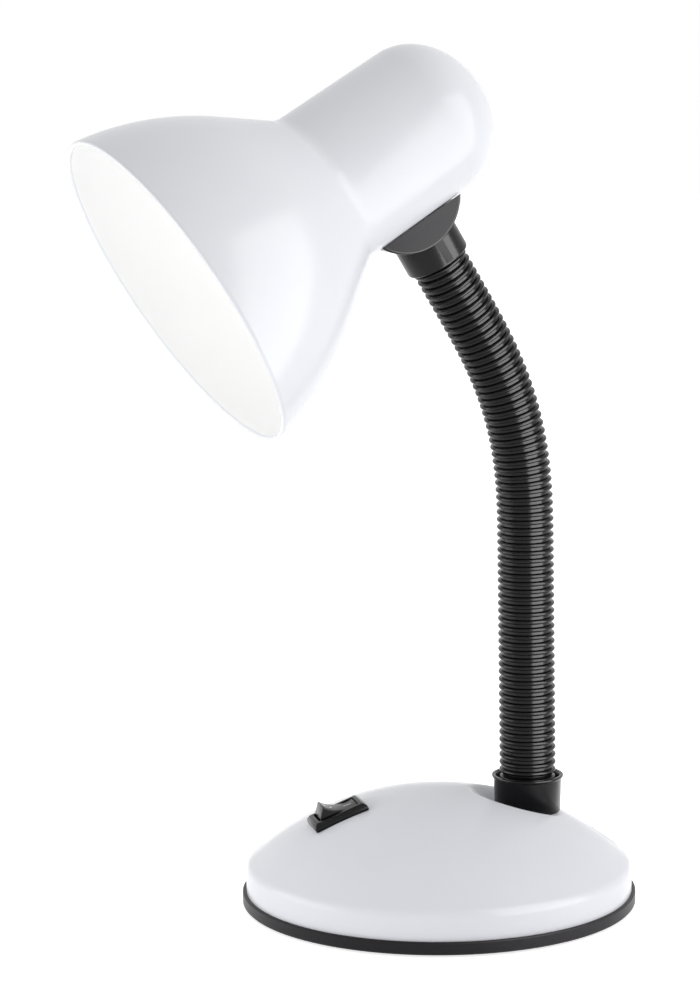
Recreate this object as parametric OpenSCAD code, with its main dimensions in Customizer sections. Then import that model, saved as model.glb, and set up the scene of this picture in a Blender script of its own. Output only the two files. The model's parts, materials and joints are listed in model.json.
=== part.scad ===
// Gooseneck desk lamp: domed base with a rocker switch, ribbed neck, bell shade.
// Front is -Y, up is +Z, and the origin is on the tabletop under the middle of the base.

/* [Foot and tray] */
// Distance from the tray's edge in to the soft ring that the lamp stands on
foot_inset = 6.5; // [4:0.5:12]
// Width of the soft ring
foot_w = 16; // [8:1:24]
// Thickness of the soft ring
foot_t = 1; // [0.8:0.1:2]
// Width of the black tray's rim outside the shell
tray_rim = 1.4; // [1:0.1:3]
// Height of the tray's rim above the foot ring
tray_h = 4.65; // [4:0.05:6]
// Thickness of the tray's floor
tray_floor = 2; // [1.5:0.1:3]
// Width of the bevel on the tray's top edge
tray_bevel = 0.6; // [0.3:0.1:0.8]
// Height of that bevel
tray_bevel_h = 0.4; // [0.2:0.1:0.8]

/* [Base shell] */
// Outer radius of the domed shell
shell_r = 71.1; // [68:0.1:72]
// Wall of the domed shell
shell_wall = 2; // [1.5:0.1:3]
// Height at which the straight side of the shell ends
shell_side_top = 13.2; // [9:0.1:15]
// Radius of the rounded shoulder above the side
shoulder_r = 4.4; // [2:0.1:6]
// Slope of the cone between the shoulder and the crown, in degrees
shoulder_slope = 38; // [34:1:42]
// Distance from the shell's side in to where the cone meets the crown
crown_inset = 8.2; // [6.5:0.1:10]
// Height of the top of the crown
crown_top = 42.4; // [40:0.1:46]
// Radius of the round dish that the cable leaves through, at the rear
dish_r = 10.5; // [8:0.5:12]
// Depth of that dish
dish_depth = 1.8; // [1:0.1:2.5]
// Distance from the shell's side in to the middle of that dish
dish_inset = 7.5; // [6.5:0.5:9]
// Diameter of the mains cable that the inlet bush takes
cable_d = 6.2; // [5:0.1:7]

/* [Weight] */
// Radius of the iron ballast disc
ballast_r = 45; // [35:1:47]
// Thickness of the ballast disc
ballast_t = 8; // [4:0.5:9]

/* [Screws of the tray] */
// Number of screws that hold the tray to the shell
screw_count = 4; // [3:1:6]
// Distance from the shell's side in to a screw's axis
screw_inset = 10.5; // [8.5:0.5:13]
// Radius of a screw's shank
screw_r = 1.5; // [1.2:0.1:2]
// Length of a screw
screw_len = 12; // [8:0.5:14]

/* [Switch] */
// Length of the switch's bezel, along the slope
bezel_len = 21; // [19:0.5:24]
// Width of the bezel
bezel_w = 15; // [14:0.5:18]
// Height of the bezel above its seat
bezel_t = 3; // [2.4:0.1:3.4]
// Width of the plastic edge around the rocker
bezel_edge = 2.6; // [2:0.1:2.9]
// Distance of the switch from the middle of the base
switch_y = 38; // [34:0.5:42]
// Depth of the switch's body under its bezel
switch_depth = 13; // [10:0.5:14]
// Angle of the rocker to either side of level, in degrees
rocker_tilt = 20; // [10:1:21]
// Height of the rocker's ends above its pivot
rocker_rise = 4.6; // [4:0.1:5.5]
// Depth of the hollow in the rocker's top
rocker_hollow = 1.8; // [1:0.1:2.5]

/* [Collar] */
// Distance of the neck's collar from the middle of the base
collar_y = 34.2; // [30:0.1:36]
// Radius of the collar at its foot
collar_foot_r = 12.1; // [11.8:0.1:13]
// Radius of the collar under its lip
collar_top_r = 12.5; // [12:0.1:13.5]
// Radius of the collar's lip
collar_lip_r = 13.2; // [12.8:0.1:14]
// Thickness of the lip
collar_lip_t = 0.8; // [0.5:0.1:1.2]
// Wall of the collar
collar_wall = 1; // [0.8:0.1:1.2]
// Height of the collar
collar_h = 13.7; // [12:0.1:16]
// Thickness of the collar's floor
collar_floor = 2; // [1.5:0.1:3]
// Height of the sunk seat of the collar above the tabletop
seat_z = 32.5; // [31:0.1:34]
// Radius of the flat floor of that seat
seat_r = 14; // [13.5:0.1:15]
// Flare of the seat's side from upright, in degrees
seat_flare = 40; // [20:1:50]
// Thickness of the shell under that seat
seat_t = 4.5; // [3.5:0.5:6]

/* [Neck] */
// Radius over the ribs of the neck
rib_r = 10.45; // [10:0.05:10.6]
// Radius in the grooves between the ribs
groove_r = 9.2; // [9:0.1:9.6]
// Distance from rib to rib
rib_pitch = 2.85; // [2.7:0.01:3]
// Length of the flank of a rib, along the neck
rib_flank = 1.1; // [0.8:0.05:1.2]
// Radius of the neck sleeve's bore
sleeve_bore_r = 8.2; // [8.1:0.1:8.4]
// Ribs on the first and the last sleeve
end_ribs = 7; // [6:1:9]
// Ribs on each sleeve between them
mid_ribs = 6; // [6:1:8]
// Half of the gap between two sleeves
sleeve_gap = 1; // [0.9:0.05:1.2]
// Height of the neck's lower end above the tabletop
neck_z = 41; // [40:0.1:43]
// Angle of the neck's bending plane to the lamp's front, in degrees
neck_turn = 9; // [-30:1:30]
// Bend at each knuckle from the base to the head, as the lamp stands, in degrees
neck_kinks = [0.5, 0, 0, 0, 0, 4, 7.5, 8, 6.5, 4.5, 0];
// Radius of a knuckle's ball
ball_r = 8.4; // [8.3:0.1:8.5]
// Clearance between a ball and its seat
ball_gap = 0.2; // [0.15:0.05:0.25]
// Radius of the steel conduit inside the neck
conduit_r = 5.5; // [5:0.1:5.8]
// Radius of the way for the wires inside the conduit
wire_way_r = 3.5; // [3:0.1:4]
// Length of the conduit to each side of a ball's centre
conduit_tail = 7.4; // [6.8:0.1:7.6]

/* [Neck fittings] */
// Radius of the threaded tubes at both ends of the neck
stud_r = 5; // [4.5:0.1:5.2]
// Radius of the plug that holds a sleeve from inside
plug_r = 8; // [7.6:0.1:8.1]
// Length of that plug
plug_len = 9; // [7:0.5:9.5]
// Width across the flats of the lock nuts
nut_af = 15; // [14:0.5:17]
// Thickness of a lock nut
nut_t = 3.5; // [3:0.1:4]
// Radius of the washers
washer_r = 9; // [8:0.5:10]
// Thickness of the washers
washer_t = 1; // [0.8:0.1:1.5]
// Distance that a stud stands out of its nut
stud_end = 1; // [0.5:0.1:2]

/* [Shade] */
// Outer radius of the shade's mouth
mouth_r = 62.5; // [60:0.1:66]
// Wall of the shade
shade_wall = 1.8; // [1.2:0.1:2.2]
// Slope of the bell at its mouth, in degrees
bell_slope_mouth = 9; // [5:1:12]
// Slope of the bell at its neck, in degrees
bell_slope_neck = 37; // [34:1:40]
// Radius of the bell's curve
bell_curve_r = 104; // [98:1:108]
// Outer radius of the shade's neck
shade_neck_r = 29; // [28.6:0.1:30]
// Radius of the hollow curve between the bell and the neck
crease_r = 9; // [4:0.5:14]
// Distance from the mouth at which the rounded cap starts
cap_start = 110; // [106:1:116]
// Radius of the shade where the cap starts
cap_foot_r = 28.5; // [27.8:0.1:28.6]
// Depth of the rounded cap
cap_depth = 23.6; // [20:0.1:28]
// Distance from the mouth at which the neck's fitting enters the shade
fitting_s = 89.6; // [86:0.1:94]
// Distance from the socket's mouth to the shade's axis
shade_lift = 46; // [45.5:0.1:48]

/* [Shade bracket] */
// Radius of the half-moon saddle under the shade
saddle_r = 20.3; // [19:0.1:22]
// Width of the saddle across the lamp
saddle_w = 24; // [22:0.5:26]
// Clearance between the saddle and the shade
saddle_gap = 0.15; // [0.1:0.05:0.3]
// Distance from the shade's mouth to the saddle's middle
saddle_s = 87.8; // [87:0.1:92]
// Height of the saddle's lowest point above the end of the neck
saddle_foot = 2.9; // [0:0.1:4]
// Bevel on the saddle's lower edges
saddle_bevel = 0.8; // [0.4:0.1:1.2]
// Outer radius of the round socket that takes the neck
socket_r = 11.9; // [11.7:0.1:13]
// Depth of the socket
socket_depth = 6; // [5:0.1:7]
// Clearance between the socket and the ribs
socket_gap = 0.3; // [0.2:0.05:0.5]

/* [Lampholder] */
// Radius of the screw shell's bore, for an E27 lamp
lamp_thread_r = 13.3; // [13.2:0.05:13.4]
// Length of the screw shell
lamp_thread_len = 23; // [20:0.5:25]
// Sheet thickness of the screw shell
lamp_thread_t = 0.5; // [0.4:0.1:0.8]
// Outer radius of the lampholder
holder_r = 18.5; // [18:0.1:19]
// Length of the lampholder's front part
holder_len = 33; // [30:0.5:36]
// Length of the lampholder's cap
holder_cap_len = 17; // [14:0.5:18]
// Distance from the shade's mouth to the lampholder's mouth
holder_s = 62; // [60:0.5:64]
// Width of the bracket that carries the lampholder
bracket_w = 12; // [11:0.5:13]
// Thickness of that bracket
bracket_t = 1.5; // [1:0.1:1.8]

/* [Clearances] */
// Clearance of parts that are assembled and then stay
fit_gap = 0.15; // [0.1:0.05:0.3]
// Clearance of a turning pin in its hole
pin_gap = 0.12; // [0.1:0.02:0.2]

/* [Hidden] */
$fn = 96;
arc_steps = 8;
eps = 0.01;

// Tray and shell
over = 1;
tray_r = shell_r + tray_rim;
foot_outer_r = tray_r - foot_inset;
foot_inner_r = foot_outer_r - foot_w;
crown_foot_r = shell_r - crown_inset;
dish_y = shell_r - dish_inset;
screw_circle_r = shell_r - screw_inset;
ballast_hole_r = 4;
tray_z = foot_t;
tray_floor_z = tray_z + tray_floor;
tray_top_z = tray_z + tray_h;
shoulder_c = shell_r - shoulder_r;
cone_r = shoulder_c + shoulder_r * sin(shoulder_slope);
cone_z = shell_side_top + shoulder_r * cos(shoulder_slope);
crown_foot_z = cone_z + (cone_r - crown_foot_r) * tan(shoulder_slope);
crown_rise = crown_top - crown_foot_z;
crown_r = (pow(crown_foot_r, 2) + pow(crown_rise, 2)) / (2 * crown_rise);
crown_c = crown_top - crown_r;
function crown_z(r) = crown_c + sqrt(pow(crown_r, 2) - pow(r, 2));

// Cable inlet
dish_z = cone_z + (cone_r - dish_y) * tan(shoulder_slope);
dish_ball_r = (pow(dish_r, 2) + pow(dish_depth, 2)) / (2 * dish_depth);
bush_wall = 1.2;
bush_flange_w = 3;
bush_flange_bevel = 0.8;
bush_flange_t = 1.2;
bush_tail = 4;
bush_flange_r = cable_d / 2 + bush_flange_w;
bush_barrel_r = cable_d / 2 + bush_wall;
bush_len = bush_flange_t + shell_wall + bush_tail;

// Screws of the tray
screw_head_r = screw_r * 2;
screw_head_t = screw_r;
screw_pilot_gap = 0.05;
boss_wall = 2.5;
boss_r = screw_r + boss_wall;

// Terminal block
block_w = 20;
block_d = 9;
block_h = 9;
block_gap = 2;
block_way_r = 1.8;

// Switch: the frame of its bezel's seat, sunk a little into the crown
switch_tilt = asin(switch_y / crown_r);
seat_sink = pow(bezel_len / 2, 2) / (2 * crown_r);
opening_len = bezel_len - 2 * bezel_edge;
opening_w = bezel_w - 2 * bezel_edge;
body_edge = 1;
body_len = bezel_len - 2 * body_edge;
body_w = bezel_w - 2 * body_edge;
bezel_bevel = 1.3;
pivot_depth = 2.2;
pivot_z = bezel_t - pivot_depth;
rocker_play = 0.3;
rocker_w = opening_w - 2 * rocker_play;
rocker_half = opening_len / 2 - rocker_play;
rocker_toe = 1.1;
rocker_lean = 14;
rocker_drop = 3;
rocker_tip = rocker_half - rocker_rise * tan(rocker_lean);
rocker_scoop_r = (pow(rocker_tip, 2) + pow(rocker_hollow, 2)) / (2 * rocker_hollow);
trunnion_r = 1.2;
trunnion_len = 0.6;
rocker_well = 6;
blade_w = 4.8;
blade_t = 0.8;
blade_len = 6.5;
blade_pitch = 7;
blade_hole_r = 0.7;
blade_hole_z = 2;

// Neck
seat_top_z = crown_top + over;
lip_flare = 0.4;
lip_round = 0.2;
mouth_bevel = 0.3;
mouth_bevel_h = 1.2;
plug_bevel = 1;
hub_rim = 1;
collar_mouth_r = collar_top_r - collar_wall * 0.6;
collar_bore_r = collar_foot_r - collar_wall;
lower_nut_z = seat_z - seat_t - washer_t - nut_t;
sleeve_count = len(neck_kinks) + 1;
function ribs_of(i) = (i == 0 || i == sleeve_count - 1) ? end_ribs : mid_ribs;
function sleeve_len(i) = ribs_of(i) * rib_pitch;
// Slope of sleeve i, the forward reach and the height of its lower end, in the bending plane
function slope_of(i) = i == 0 ? 0 : slope_of(i - 1) + neck_kinks[i - 1];
function reach_of(i) = i == 0 ? 0 : reach_of(i - 1) + sleeve_len(i - 1) * sin(slope_of(i - 1));
function height_of(i) = i == 0 ? neck_z : height_of(i - 1) + sleeve_len(i - 1) * cos(slope_of(i - 1));
function two_digits(n) = str(n < 10 ? "0" : "", n);
head_slope = slope_of(sleeve_count - 1);

// Shade, along its own axis from the mouth
bell_len = bell_curve_r * (sin(bell_slope_neck) - sin(bell_slope_mouth));
bell_end_r = mouth_r - bell_curve_r * (cos(bell_slope_mouth) - cos(bell_slope_neck));
crease_s = bell_len + (bell_end_r - shade_neck_r) / tan(bell_slope_neck);
crease_reach = crease_r * tan(bell_slope_neck / 2);
taper_lead = 4;
neck_taper_s = (fitting_s + cap_start) / 2 - taper_lead;
shade_len = cap_start + cap_depth;
shade_axis_z = shade_lift - socket_depth;
shade_inner_r = shade_neck_r - shade_wall;

// Head fittings, above the end of the neck
pad_t = 2;
pad_len = 16;
bracket_nose = 8;
bracket_rim = 3;
socket_bevel = 0.8;
pad_top_z = shade_axis_z - shade_inner_r + pad_t;
bracket_top_z = pad_top_z + bracket_t;
upper_nut_z = bracket_top_z;
upper_stud_top = upper_nut_z + nut_t + stud_end;
holder_end_s = holder_s + holder_len + holder_cap_len;
holder_nut_s = holder_end_s + bracket_t;

// Lampholder, along the shade's axis
cap_wall = 2;
cap_round = 5;
cap_round_r = 4.5;
cap_step = 0.5;
cap_taper = 1;
nipple_reach = 4;
skirt_wall = 2.5;
skirt_taper = 12;
skirt_mouth_w = 0.8;
skirt_mouth_h = 1;
shell_sink = 2;
floor_t = 5;
floor_s = holder_s + shell_sink + lamp_thread_len;
pocket_r = 6.5;
pocket_depth = 3;
wire_hole_r = 1.2;
wire_hole_x = 8;
contact_w = 5;
contact_len = 8;
contact_t = 0.6;
contact_rise = 2.2;
contact_r = 2.5;

LENGTHS = [for (i = [1:sleeve_count]) str("neck_sleeve_", two_digits(i))];
KNUCKLES = [for (i = [1:sleeve_count - 1]) str("neck_core_", two_digits(i))];

// Points of an arc about (x, y), from angle a to angle b
function arc(x, y, r, a, b, steps = arc_steps) =
    [for (i = [0:steps]) [x + r * cos(a + (b - a) * i / steps), y + r * sin(a + (b - a) * i / steps)]];

// ---------- Foot, tray and weight ----------

module foot_ring() {
    color("#2a2a2c") difference() {
        cylinder(r = foot_outer_r, h = foot_t);
        translate([0, 0, -over]) cylinder(r = foot_inner_r, h = foot_t + 2 * over);
    }
}

module base_plate() {
    inner_r = shell_r + fit_gap;
    color("#151517") difference() {
        rotate_extrude() polygon([
            [0, tray_z],
            [tray_r, tray_z],
            [tray_r, tray_top_z - tray_bevel_h],
            [tray_r - tray_bevel, tray_top_z],
            [inner_r, tray_top_z],
            [inner_r, tray_floor_z],
            [0, tray_floor_z]
        ]);
        at_screws() {
            translate([0, 0, tray_z - over]) cylinder(r = screw_r + fit_gap, h = tray_floor + 2 * over);
            translate([0, 0, tray_z - over]) cylinder(r = screw_head_r + fit_gap, h = screw_head_t + over);
        }
    }
}

module ballast_weight() {
    color("#55575a") difference() {
        translate([0, 0, tray_floor_z]) cylinder(r = ballast_r, h = ballast_t);
        translate([0, 0, tray_floor_z - over]) cylinder(r = ballast_hole_r, h = ballast_t + 2 * over);
    }
}

module at_screws() {
    for (i = [0:screw_count - 1])
        rotate([0, 0, (i + 0.5) * 360 / screw_count])
            translate([screw_circle_r, 0, 0]) children();
}

module base_screws() {
    color("#a9abad") at_screws() {
        translate([0, 0, tray_z]) cylinder(r = screw_head_r, h = screw_head_t);
        translate([0, 0, tray_z]) cylinder(r = screw_r, h = screw_len);
    }
}

// ---------- Base shell ----------

// The dome, closed below, with its whole outline moved inwards by inset
module dome(inset) {
    r = shell_r - inset;
    arc_r = shoulder_r - inset;
    end_r = shoulder_c + arc_r * sin(shoulder_slope);
    end_z = shell_side_top + arc_r * cos(shoulder_slope);
    intersection() {
        rotate_extrude() polygon(concat(
            [[0, tray_floor_z], [r, tray_floor_z]],
            arc(shoulder_c, shell_side_top, arc_r, 0, 90 - shoulder_slope),
            [[0, end_z + end_r * tan(shoulder_slope)]]
        ));
        translate([0, 0, crown_c]) sphere(r = crown_r - inset);
    }
}

// The sunk seat of the collar, with its outline moved outwards by wall
module collar_seat(wall) {
    floor_z = seat_z - wall;
    floor_r = seat_r + wall / cos(seat_flare) - wall * tan(seat_flare);
    height = seat_top_z - floor_z;
    translate([0, collar_y, floor_z])
        cylinder(r1 = floor_r, r2 = floor_r + height * tan(seat_flare), h = height);
}

// The cable's dish, with its outline moved outwards by wall
module cable_dish(wall) {
    at_dish() translate([0, 0, dish_ball_r - dish_depth]) sphere(r = dish_ball_r + wall);
}

module at_dish() {
    translate([0, dish_y, dish_z]) rotate([-shoulder_slope, 0, 0]) children();
}

module at_switch() {
    translate([0, -switch_y, crown_z(switch_y)])
        rotate([switch_tilt, 0, 0])
            translate([0, 0, -seat_sink]) children();
}

module base_shell() {
    color("#e4e4e8") difference() {
        union() {
            dome(0);
            translate([0, collar_y, seat_z - seat_t]) cylinder(r = seat_r, h = seat_t);
        }
        collar_seat(0);
        cable_dish(0);
        difference() {
            translate([0, 0, -eps]) dome(shell_wall);
            collar_seat(shell_wall);
            cable_dish(shell_wall);
            translate([0, collar_y, seat_z - seat_t]) cylinder(r = seat_r + eps, h = seat_t);
            at_screws() translate([0, 0, tray_floor_z - over]) cylinder(r = boss_r, h = crown_top);
        }
        at_screws() translate([0, 0, tray_floor_z - over])
            cylinder(r = screw_r + screw_pilot_gap, h = screw_len - tray_floor + 2 * over);
        translate([0, collar_y, seat_z - seat_t - over]) cylinder(r = stud_r + fit_gap, h = seat_t + 2 * over);
        at_dish() translate([0, 0, -dish_depth - bush_len])
            cylinder(r = bush_barrel_r + fit_gap, h = 2 * bush_len);
        at_switch() {
            translate([-bezel_w / 2 - fit_gap, -bezel_len / 2 - fit_gap, 0])
                cube([bezel_w + 2 * fit_gap, bezel_len + 2 * fit_gap, 2 * bezel_t]);
            translate([-body_w / 2 - fit_gap, -body_len / 2 - fit_gap, -3 * shell_wall])
                cube([body_w + 2 * fit_gap, body_len + 2 * fit_gap, 4 * shell_wall]);
        }
    }
}

module cable_inlet_bush() {
    barrel_z = -dish_depth;
    color("#1a1a1c") at_dish() difference() {
        union() {
            translate([0, 0, barrel_z])
                cylinder(r1 = bush_flange_r, r2 = bush_flange_r - bush_flange_bevel, h = bush_flange_t);
            translate([0, 0, barrel_z - bush_len + bush_flange_t]) cylinder(r = bush_barrel_r, h = bush_len - eps);
        }
        translate([0, 0, barrel_z - bush_len]) cylinder(r = cable_d / 2, h = bush_len * 2);
        // The flange's underside follows the dish
        difference() {
            translate([0, 0, barrel_z - over]) cylinder(r = bush_flange_r + over, h = over + bush_flange_t / 2);
            translate([0, 0, dish_ball_r - dish_depth]) sphere(r = dish_ball_r);
            translate([0, 0, barrel_z - 2 * over]) cylinder(r = bush_barrel_r, h = 4 * over);
        }
    }
}

module terminal_block() {
    color("#e9e6dc") translate([0, ballast_r + block_gap, tray_floor_z]) difference() {
        translate([-block_w / 2, 0, 0]) cube([block_w, block_d, block_h]);
        for (side = [-1, 1]) translate([side * block_w / 4, -over, block_h / 2]) {
            rotate([-90, 0, 0]) cylinder(r = block_way_r, h = block_d + 2 * over);
            for (y = [1 / 4, 3 / 4]) translate([0, over + y * block_d, 0]) cylinder(r = block_way_r, h = block_h);
        }
    }
}

// ---------- Switch ----------

module switch_body() {
    trunnion_hole_r = trunnion_r + pin_gap;
    trunnion_hole_w = rocker_w + 2 * trunnion_len + rocker_play;
    color("#1b1b1d") at_switch() difference() {
        union() {
            hull() {
                translate([-bezel_w / 2, -bezel_len / 2, 0]) cube([bezel_w, bezel_len, bezel_t - bezel_bevel]);
                translate([-bezel_w / 2 + bezel_bevel, -bezel_len / 2 + bezel_bevel, 0])
                    cube([bezel_w - 2 * bezel_bevel, bezel_len - 2 * bezel_bevel, bezel_t]);
            }
            translate([-body_w / 2, -body_len / 2, -switch_depth]) cube([body_w, body_len, switch_depth]);
        }
        translate([-opening_w / 2, -opening_len / 2, pivot_z - rocker_well])
            cube([opening_w, opening_len, rocker_well + bezel_t]);
        translate([-trunnion_hole_w / 2, 0, pivot_z])
            rotate([0, 90, 0]) cylinder(r = trunnion_hole_r, h = trunnion_hole_w);
    }
}

module switch_terminals() {
    color("#c9a24b") at_switch() for (side = [-1, 1])
        translate([-blade_w / 2, side * blade_pitch / 2 - blade_t / 2, -switch_depth - blade_len])
            difference() {
                cube([blade_w, blade_t, blade_len]);
                translate([blade_w / 2, -over, blade_hole_z])
                    rotate([-90, 0, 0]) cylinder(r = blade_hole_r, h = blade_t + 2 * over);
            }
}

// The rocker about its pivot, level, with its hollow top up
module level_rocker() {
    foot_half = rocker_half - rocker_toe;
    scoop_z = rocker_rise - rocker_hollow + rocker_scoop_r;
    scoop_half = asin(rocker_tip / rocker_scoop_r);
    translate([-rocker_w / 2, 0, 0]) rotate([90, 0, 90]) linear_extrude(rocker_w) polygon(concat(
        [[-rocker_half, 0], [-foot_half, -rocker_drop], [foot_half, -rocker_drop], [rocker_half, 0]],
        arc(0, scoop_z, rocker_scoop_r, -90 + scoop_half, -90 - scoop_half, 14)
    ));
    translate([-rocker_w / 2 - trunnion_len, 0, 0])
        rotate([0, 90, 0]) cylinder(r = trunnion_r, h = rocker_w + 2 * trunnion_len);
}

module switch_rocker() {
    color("#202022") at_switch() translate([0, 0, pivot_z]) rotate([-rocker_tilt, 0, 0]) level_rocker();
}

// ---------- Collar and the neck's lower fitting ----------

module collar() {
    lip_z = collar_h - collar_lip_t;
    color("#1d1c1e") translate([0, collar_y, seat_z]) rotate_extrude() polygon([
        [stud_r + fit_gap, 0],
        [collar_foot_r, 0],
        [collar_top_r, lip_z - lip_flare],
        [collar_lip_r - lip_round, lip_z],
        [collar_lip_r, lip_z + collar_lip_t / 2],
        [collar_lip_r - lip_round, collar_h],
        [collar_mouth_r, collar_h],
        [collar_bore_r + mouth_bevel, collar_h - mouth_bevel_h],
        [collar_bore_r, collar_floor],
        [stud_r + fit_gap, collar_floor]
    ]);
}

module lower_fitting() {
    hub_z = seat_z + collar_floor;
    hub_r = plug_r + hub_rim;
    stud_z = lower_nut_z - stud_end;
    color("#8d9093") translate([0, collar_y, 0]) difference() {
        rotate_extrude() polygon([
            [0, stud_z], [stud_r, stud_z], [stud_r, hub_z], [hub_r, hub_z], [hub_r, neck_z],
            [plug_r, neck_z], [plug_r, neck_z + plug_len - plug_bevel],
            [plug_r - plug_bevel, neck_z + plug_len], [0, neck_z + plug_len]
        ]);
        translate([0, 0, stud_z - over]) cylinder(r = wire_way_r, h = neck_z + plug_len - stud_z + 2 * over);
    }
}

module washer() {
    difference() {
        cylinder(r = washer_r, h = washer_t);
        translate([0, 0, -over]) cylinder(r = stud_r + fit_gap, h = washer_t + 2 * over);
    }
}

module lock_nut() {
    difference() {
        cylinder(r = nut_af / 2 / cos(30), h = nut_t, $fn = 6);
        translate([0, 0, -over]) cylinder(r = stud_r + fit_gap / 2, h = nut_t + 2 * over);
    }
}

module lower_washer() {
    color("#b5b8ba") translate([0, collar_y, lower_nut_z + nut_t]) washer();
}

module lower_lock_nut() {
    color("#b5b8ba") translate([0, collar_y, lower_nut_z]) lock_nut();
}

// ---------- Neck ----------

// Children stand in the neck's bending plane: x is forward, y across and z up
module in_neck_plane() {
    translate([0, collar_y, 0]) rotate([0, 0, neck_turn - 90]) children();
}

// Children stand at the lower end of sleeve i, leaning by slope
module at_neck(i, slope) {
    in_neck_plane() translate([reach_of(i), 0, height_of(i)]) rotate([0, slope, 0]) children();
}

// Outline of a row of ribs, from the bore outwards, cut off at both ends
module ribbed_outline(ribs, cut_low, cut_high) {
    intersection() {
        polygon(concat(
            [[sleeve_bore_r, ribs * rib_pitch], [sleeve_bore_r, 0]],
            [for (k = [0:ribs - 1]) each [
                [groove_r, k * rib_pitch],
                [rib_r, k * rib_pitch + rib_flank],
                [rib_r, (k + 1) * rib_pitch - rib_flank]
            ]],
            [[groove_r, ribs * rib_pitch]]
        ));
        translate([0, cut_low]) square([rib_r + over, ribs * rib_pitch - cut_low - cut_high]);
    }
}

// Sleeve i counted from 0: a length of ribbed hose with a round seat for the ball at each joint
module neck_sleeve(i) {
    low_joint = i > 0;
    high_joint = i < sleeve_count - 1;
    color("#1f1e21") at_neck(i, slope_of(i)) difference() {
        rotate_extrude() ribbed_outline(ribs_of(i), low_joint ? sleeve_gap : 0, high_joint ? sleeve_gap : 0);
        if (low_joint) sphere(r = ball_r + ball_gap);
        if (high_joint) translate([0, 0, sleeve_len(i)]) sphere(r = ball_r + ball_gap);
    }
}

// Knuckle i counted from 1: a ball on a length of conduit, between sleeves i and i + 1
module neck_core(i) {
    color("#9a9da0") at_neck(i, (slope_of(i - 1) + slope_of(i)) / 2) difference() {
        union() {
            sphere(r = ball_r);
            translate([0, 0, -conduit_tail]) cylinder(r = conduit_r, h = 2 * conduit_tail);
        }
        translate([0, 0, -ball_r - over]) cylinder(r = wire_way_r, h = 2 * (ball_r + over));
    }
}

// ---------- Head ----------

// Children stand at the upper end of the neck: z goes on along the neck, x is the shade's way
module at_head() {
    at_neck(sleeve_count, head_slope) children();
}

// Children are turned about the shade's axis: z runs from the shade's mouth to its cap
module along_shade() {
    at_head() translate([fitting_s, 0, shade_axis_z]) rotate([0, -90, 0]) children();
}

// The shade's outline from its mouth to the tip of its cap, moved inwards by inset
function shade_outline(inset) = concat(
    arc_profile(0, mouth_r - inset, bell_curve_r - inset),
    crease_profile(inset),
    [[shade_neck_r - inset, neck_taper_s]],
    cap_profile(inset)
);
function arc_profile(s, r, curve_r) =
    let (c = mouth_r - bell_curve_r * cos(bell_slope_mouth), s0 = -bell_curve_r * sin(bell_slope_mouth))
    [for (i = [0:10]) let (a = bell_slope_mouth + (bell_slope_neck - bell_slope_mouth) * i / 10)
        [c + curve_r * cos(a), s0 + curve_r * sin(a)]];
function crease_profile(inset) =
    let (c = shade_neck_r + crease_r, s0 = crease_s + crease_reach)
    [for (i = [0:5]) let (a = bell_slope_neck * (1 - i / 5))
        [c - (crease_r + inset) * cos(a), s0 - (crease_r + inset) * sin(a)]];
function cap_profile(inset) =
    [for (i = [0:12]) let (a = 90 * i / 12)
        [(cap_foot_r - inset) * cos(a), cap_start + (cap_depth - inset) * sin(a)]];

module shade() {
    rim_round = shade_wall / 3;
    color("#e8e9ed") difference() {
        along_shade() difference() {
            rotate_extrude() polygon(concat([[0, 0]], shade_outline(0)));
            translate([0, 0, -eps]) rotate_extrude() polygon(concat([[0, 0]], shade_outline(shade_wall)));
            rotate_extrude() polygon([
                [mouth_r - rim_round, -eps], [mouth_r + over, -eps],
                [mouth_r + over, rim_round], [mouth_r, rim_round]
            ]);
        }
        at_head() cylinder(r = stud_r + fit_gap, h = shade_axis_z);
    }
}

module shade_bracket() {
    bore_r = rib_r + socket_gap;
    horn_z = shade_axis_z - shade_neck_r * 0.85;
    color("#1d1c1e") at_head() difference() {
        union() {
            translate([fitting_s - saddle_s, -saddle_w / 2, saddle_r + saddle_foot])
                rotate([-90, 0, 0]) saddle_disc();
            translate([0, 0, -socket_depth])
                cylinder(r1 = socket_r - socket_bevel, r2 = socket_r, h = socket_bevel);
            translate([0, 0, -socket_depth + socket_bevel])
                cylinder(r = socket_r, h = shade_lift - shade_neck_r + over);
        }
        translate([fitting_s, 0, shade_axis_z]) rotate([0, -90, 0])
            cylinder(r = shade_neck_r + saddle_gap, h = shade_len);
        translate([-2 * saddle_r, -saddle_w, horn_z]) cube([4 * saddle_r, 2 * saddle_w, 2 * saddle_r]);
        translate([0, 0, -socket_depth - over]) cylinder(r = bore_r, h = socket_depth + over);
        cylinder(r = stud_r + fit_gap, h = shade_axis_z);
    }
}

module saddle_disc() {
    cylinder(r1 = saddle_r - saddle_bevel, r2 = saddle_r, h = saddle_bevel);
    translate([0, 0, saddle_bevel]) cylinder(r = saddle_r, h = saddle_w - 2 * saddle_bevel);
    translate([0, 0, saddle_w - saddle_bevel])
        cylinder(r1 = saddle_r, r2 = saddle_r - saddle_bevel, h = saddle_bevel);
}

module upper_fitting() {
    color("#8d9093") at_head() difference() {
        union() {
            translate([0, 0, -plug_len]) cylinder(r1 = plug_r - plug_bevel, r2 = plug_r, h = plug_bevel);
            translate([0, 0, -plug_len + plug_bevel]) cylinder(r = plug_r, h = plug_len - plug_bevel);
            translate([0, 0, -over]) cylinder(r = stud_r, h = upper_stud_top + over);
        }
        translate([0, 0, -plug_len - over]) cylinder(r = wire_way_r, h = plug_len + upper_stud_top + 2 * over);
    }
}

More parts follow.
